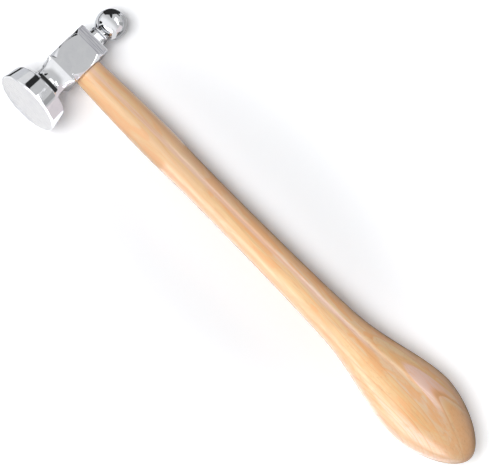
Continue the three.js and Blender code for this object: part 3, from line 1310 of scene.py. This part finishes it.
@dataclass
class Wedge:
    """A wedge driven into the tenon's end: broad one way, tapering in thickness. Sizes are in millimetres."""

    name: str
    node: str
    slot: Slot
    length: float
    half_width: float
    thickness: float
    tip: float
    rolled: bool
    finish: Finish
    end: float = 8.0
    proud: float = 0.2
    edge: float = 0.12
    room: float = 0.05

    def shape(self, name: str, tool: ToolFrame, grow: float = 0.0) -> bpy.types.Object:
        """Makes the wedge, or the slot for it.

        Args:
            name: the object's name.
            tool: where the hammer's axes lie.
            grow: how much larger than the wedge it is all round, in millimetres. A slot's edges stay sharp.

        Returns:
            The object.
        """
        slope = (self.thickness - self.tip) / 2 / self.length
        outer = -self.end - self.proud - grow
        inner = -self.end + self.length + grow
        corners = []
        outer_half = self.thickness / 2 + slope * self.proud + grow
        for along, half in ((outer, outer_half), (inner, self.tip / 2 + grow)):
            for broad, thin in ((-1, -1), (1, -1), (1, 1), (-1, 1)):
                across = (broad * (self.half_width + grow), thin * half)
                corners.append((along, *(across[::-1] if self.rolled else across)))
        faces = [[0, 1, 2, 3], [7, 6, 5, 4], [0, 4, 5, 1], [1, 5, 6, 2], [2, 6, 7, 3], [3, 7, 4, 0]]
        ease = 0.0 if grow else self.edge * MILLIMETRE
        return add_object(closed_mesh(name, tool.lay_down(np.array(corners)), faces, ease))

    def slot_cutter(self, name: str, tool: ToolFrame) -> bpy.types.Object:
        """Makes what is cut out of a piece so that the wedge fits in it."""
        return self.shape(name, tool, self.room)

    def dress(self, wedge: bpy.types.Object, tool: ToolFrame) -> None:
        """Finishes the wedge and joins it to the frame.

        Args:
            wedge: the wedge.
            tool: where the hammer's axes lie.
        """
        coat(wedge, tool, self.finish)
        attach(wedge, "root")
        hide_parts(self.node)


WHITE: Colour = (1.0, 1.0, 1.0, 1.0)
COOL: Colour = (0.93, 0.91, 1.0, 1.0)
PINK: Colour = (0.86, 0.79, 0.81, 1.0)
ROSE: Colour = (0.92, 0.84, 0.85, 1.0)


@dataclass(frozen=True)
class Card:
    """A flat card that only the polished steel and the lacquer see, as a studio flag or a reflector is used.
    A few dark ones lie on the floor as painted shade.

    Attributes:
        name: the card's name.
        corners: its corners in millimetres, from the point on the floor under the middle of the ball.
        shade: how bright it is: 0 is black and 1 is white.
        tint: its colour.
    """

    name: str
    corners: tuple[Place, ...]
    shade: float
    tint: Colour = WHITE

    @classmethod
    def lying(cls, name: str, shade: float, *places: Point, height: float = 0.3,
              tint: Colour = WHITE) -> "Card":
        """A card that lies just above the floor.

        Args:
            name: the card's name.
            shade: how bright it is.
            places: its corners along X and Y, in millimetres.
            height: how far above the floor it lies, in millimetres.
            tint: its colour.

        Returns:
            The card.
        """
        return cls(name, tuple((x, y, height) for x, y in places), shade, tint)

    @classmethod
    def upright(cls, name: str, shade: float, start: Point, end: Point, heights: Point,
                tint: Colour = WHITE) -> "Card":
        """A card that stands upright.

        Args:
            name: the card's name.
            shade: how bright it is.
            start: one end of its lower edge along X and Y, in millimetres.
            end: the other end.
            heights: how high its lower and its upper edge are, in millimetres.
            tint: its colour.

        Returns:
            The card.
        """
        low, high = heights
        return cls(name, ((*start, low), (*end, low), (*end, high), (*start, high)), shade, tint)

    @classmethod
    def far(cls, name: str, shade: float, azimuths: Point, elevations: Point, distance: float) -> "Card":
        """A card that spans these directions from the ball.

        Args:
            name: the card's name.
            shade: how bright it is.
            azimuths: its two sides, in degrees from +X towards +Y.
            elevations: its lower and its upper edge, in degrees.
            distance: how far away it stands, in millimetres.

        Returns:
            The card.
        """
        corners = []
        for azimuth, elevation in ((0, 0), (1, 0), (1, 1), (0, 1)):
            turn = math.radians(azimuths[azimuth])
            rise = math.radians(elevations[elevation])
            reach = distance * math.cos(rise)
            corners.append((reach * math.cos(turn), reach * math.sin(turn), distance * math.sin(rise)))
        return cls(name, tuple(corners), shade)

    def build(self, foot: Vector) -> None:
        """Makes the card and hides it from the camera, from diffuse light, from shadows and from
        transmission.

        Args:
            foot: the point on the floor under the middle of the ball, in metres.
        """
        mesh = bpy.data.meshes.new(self.name)
        places = [tuple(Vector(corner) * MILLIMETRE + foot) for corner in self.corners]
        mesh.from_pydata(places, [], [tuple(range(len(places)))])
        card = add_object(mesh)
        sheet = Sheet.of_material(self.name)
        sheet.surface(sheet.fed("ShaderNodeEmission", color=self.tint, strength=self.shade))
        mesh.materials.append(sheet.owner)
        card.visible_camera = False
        card.visible_diffuse = False
        card.visible_shadow = False
        card.visible_transmission = False


@dataclass
class Studio:
    """White sweep, soft lamps, and the cards that the polished steel and the lacquer mirror.

    Places are in metres of the row frame, apart from the cards' own.
    """

    image_size: tuple[int, int] = (489, 469)
    camera_place: Place = (-0.050595, -0.226725, 1.279104)
    camera_turn: Place = (5.8387, -8.5048, 44.8326)
    focal_pixels: float = 2955.8
    sensor_width: float = 36.0
    sight: float = 100.0
    floor_half: float = 3.0
    paper: Colour = (0.95, 0.96, 0.985, 1.0)
    mirrored_paper: Colour = (0.76, 0.77, 0.79, 1.0)
    glow_stretch: Place = (0.5, 1.0, 0.0)
    glow_middle: Place = (-0.01, 0.0, 0.0)
    glow_rise: Ramp = (0.034, 0.13, 0.06, 1.0)
    sky_level: float = 0.01
    room_shade: Ramp = (-0.3, 0.3, 1.1, 0.66)
    key_direction: Place = (-0.255, -0.39, 0.885)
    key_level: float = 0.88
    fill_direction: Place = (-0.2, 0.42, 0.885)
    fill_level: float = 0.1
    lamp_distance: float = 1.6
    lamp_size: float = 0.9
    ball_foot: Place = (-0.1146, 0.0243, 0.0)
    cards: tuple[Card, ...] = (
        Card("tall_flag", (
            (-152, 93, 74), (-100, 130, 84), (-104, 127, 180),
            (-116, 119, 250), (-136, 104, 235), (-150, 95, 160),
        ), 0.03),
        Card("low_flag", (
            (-59, 12, 0), (-10, 59, 0), (-10, 59, 14), (-34, 49, 36), (-54, 25, 36), (-59, 12, 20),
        ), 0.03),
        Card("left_flag", (
            (-24, -14, 8), (-24, -25, 8), (-24, -25, 22), (-24, -18, 22), (-24, -14, 14),
        ), 0.03),
        Card.lying("floor_flag", 0.03, (-18, 5), (-10, 10), (-3, 17), (-4, 66), (-62, 13)),
        Card.lying("side_flag", 0.05, (-38, -56), (-27, -56), (-27, 8), (-38, 8)),
        # Painted contact shade: dark cards lying on the floor beside the collar and the neck, seen only in
        # the steel
        Card.lying("collar_flag", 0.04, (-15, -17), (-4, -17), (-4, -10), (-13, -10), height=0.4),
        Card.lying("neck_flag", 0.04, (-20, -45), (-4, -45), (-4, -34), (-16, -34), height=0.4),
        Card.lying("floor_shade", 0.45, (8, -5), (70, -20), (60, 60), (0, 70), (2, 8)),
        Card.lying("floor_light", 1.12, (-120, -57), (5, -57), (24, -36), (24, -700), (-120, -700)),
        Card.lying("handle_light", 2.6, (24, -36), (330, -44), (330, -700), (24, -700), tint=COOL),
        Card.lying("handle_shade", 0.15, (24, -14), (330, -4), (330, 22), (24, 12)),
        Card("pink_card", ((7.7, -36, 0), (60, -38, 0), (60, -38, 30), (7.7, -36, 30)), 0.95, PINK),
        Card.upright("ball_side", 0.9, (7, -7), (60, -14), (0, 24)),
        # Painted shade between the bead and the ball: a dark card seen only in the steel
        Card("ball_gap", ((-3.4, -5.4, 5), (3.4, -5.4, 5), (3.4, -5.6, 11.9), (-3.4, -5.6, 11.9)), 0.05),
        Card("cove_flag", ((-5, -39.5, 18.9), (7, -39.5, 18.9), (7, -39.8, 22.4), (-5, -39.8, 22.4)), 0.04),
        Card.far("band_light", 0.85, (132, 160), (0, 24), 500),
        Card("ball_window", ((-16, 63, 56), (20, 63, 56), (14, 37, 84), (-9, 37, 84)), 1.6),
        Card.upright("handle_window", 4.6, (40, 300), (430, 300), (352, 500)),
        Card.far("disc_glint", 0.92, (56, 71), (28, 41), 390),
        Card.far("right_shade", 0.42, (38, 56), (0, 38), 400),
        Card("right_card", ((409, -85, 0), (336, 235, 0), (291, 204, 205), (355, -74, 205)), 0.97, ROSE),
        Card.far("horizon_flag", 0.05, (88, 128), (0, 9), 500),
        Card.upright("bulb_light", 4.6, (-330, -690), (96, -690), (110, 560), tint=COOL),
        Card("strip_light", (
            (90, -750, 26), (1299, -750, 26), (1136, -656, 727), (90, -656, 727),
        ), 4.6, COOL),
    )

    def camera(self) -> None:
        """Puts the scene's camera where the photographer stood."""
        data = bpy.data.cameras.new("studio_camera")
        data.sensor_width = self.sensor_width
        data.lens = self.focal_pixels * self.sensor_width / self.image_size[0]
        data.clip_end = self.sight
        camera = add_object(data)
        camera.location = self.camera_place
        camera.rotation_euler = Euler([math.radians(angle) for angle in self.camera_turn], "XYZ")
        bpy.context.scene.camera = camera

    def floor(self) -> None:
        """Makes the white paper under the hammer, with a glow that rises away from it as on a lit sweep."""
        half = self.floor_half
        corners = [(-half, -half, 0), (half, -half, 0), (half, half, 0), (-half, half, 0)]
        mesh = bpy.data.meshes.new("white_floor")
        mesh.from_pydata(corners, [], [(0, 1, 2, 3)])
        floor = add_object(mesh)
        sheet = Sheet.of_material("white_paper")
        ray = sheet.node("ShaderNodeLightPath").outputs
        spot = sheet.node("ShaderNodeTexCoord").outputs["Object"]
        away = sheet.node("ShaderNodeVectorMath", operation="DISTANCE")
        sheet.plug(away.inputs[0], sheet.stretched(spot, self.glow_stretch))
        sheet.plug(away.inputs[1], self.glow_middle)
        rise = sheet.between(away.outputs["Value"], self.glow_rise)
        paper = sheet.fed("ShaderNodeBsdfDiffuse",
                          color=sheet.mix(ray["Is Glossy Ray"], self.paper, self.mirrored_paper))
        glow = sheet.fed("ShaderNodeEmission", strength=sheet.product(ray["Is Camera Ray"], rise))
        sheet.surface(sheet.wired("ShaderNodeAddShader", paper, glow))
        mesh.materials.append(sheet.owner)

    def world(self) -> None:
        """Lights the room evenly, shows white behind the object, and gives the steel a softly shaded room."""
        world = bpy.data.worlds.new("studio_world")
        bpy.context.scene.world = world
        sheet = Sheet(world, "ShaderNodeOutputWorld")
        ray = sheet.node("ShaderNodeLightPath").outputs
        across = sheet.apart(sheet.node("ShaderNodeTexCoord").outputs["Generated"])[1]
        levels = (self.sky_level, sheet.between(across, self.room_shade), 1.0)
        soft, room, white = (
            sheet.fed("ShaderNodeBackground", color=WHITE, strength=level) for level in levels
        )
        mirrored = sheet.wired("ShaderNodeMixShader", ray["Is Glossy Ray"], soft, room)
        sheet.surface(sheet.wired("ShaderNodeMixShader", ray["Is Camera Ray"], mirrored, white))

    def lamp(self, name: str, direction: Place, level: float) -> None:
        """Adds a soft square lamp that looks at the hammer.

        Args:
            name: the lamp's name.
            direction: where it stands, seen from the hammer.
            level: how bright a white floor gets under it, where 1 is white.
        """
        way = Vector(direction).normalized()
        data = bpy.data.lights.new(name, "AREA")
        data.shape = "SQUARE"
        data.size = self.lamp_size
        data.energy = level * math.pi ** 2 * self.lamp_distance ** 2 / way.z
        lamp = add_object(data)
        lamp.location = way * self.lamp_distance
        lamp.rotation_euler = way.to_track_quat("Z", "Y").to_euler()
        lamp.visible_camera = False
        lamp.visible_glossy = False

    def build(self) -> None:
        """Sets up the whole studio."""
        self.camera()
        self.floor()
        self.world()
        self.lamp("key_lamp", self.key_direction, self.key_level)
        self.lamp("fill_lamp", self.fill_direction, self.fill_level)
        for card in self.cards:
            card.build(Vector(self.ball_foot))
        bpy.context.scene.view_settings.view_transform = "Standard"


def main() -> None:
    """Builds the hammer piece by piece and reports each one."""
    logging.basicConfig(level=logging.INFO, format="%(message)s")
    Studio().build()
    head_form = Head()
    tool = ToolFrame.from_record(frame["record"], head_form.cheek_half_width, head_form.face_crown)
    handle_form = Handle()
    kerf_form = Wedge(
        name="kerf_wedge_fitted", node="kerf_wedge", slot=Slot.KERF_WEDGE, finish=WedgeWood(),
        length=12.0, half_width=5.2, thickness=2.4, tip=0.8, rolled=False,
    )
    steel_form = Wedge(
        name="steel_wedge_fitted", node="steel_wedge", slot=Slot.STEEL_WEDGE, finish=DrivenSteel(),
        length=8.0, half_width=3.0, thickness=1.5, tip=0.4, rolled=True,
    )

    head = head_form.build(tool)
    cut(head, [handle_form.eye_cutter(tool)])
    head_form.dress(head, tool)
    report(head)

    handle = handle_form.build(tool)
    cut(handle, [kerf_form.slot_cutter("kerf", tool), steel_form.slot_cutter("cross_kerf", tool)])
    handle_form.dress(handle, tool)
    report(handle)

    kerf = kerf_form.shape(kerf_form.name, tool)
    cut(kerf, [steel_form.slot_cutter("wedge_slot", tool)])
    kerf_form.dress(kerf, tool)
    report(kerf)

    steel = steel_form.shape(steel_form.name, tool)
    steel_form.dress(steel, tool)
    report(steel)


if __name__ == "__main__":
    main()
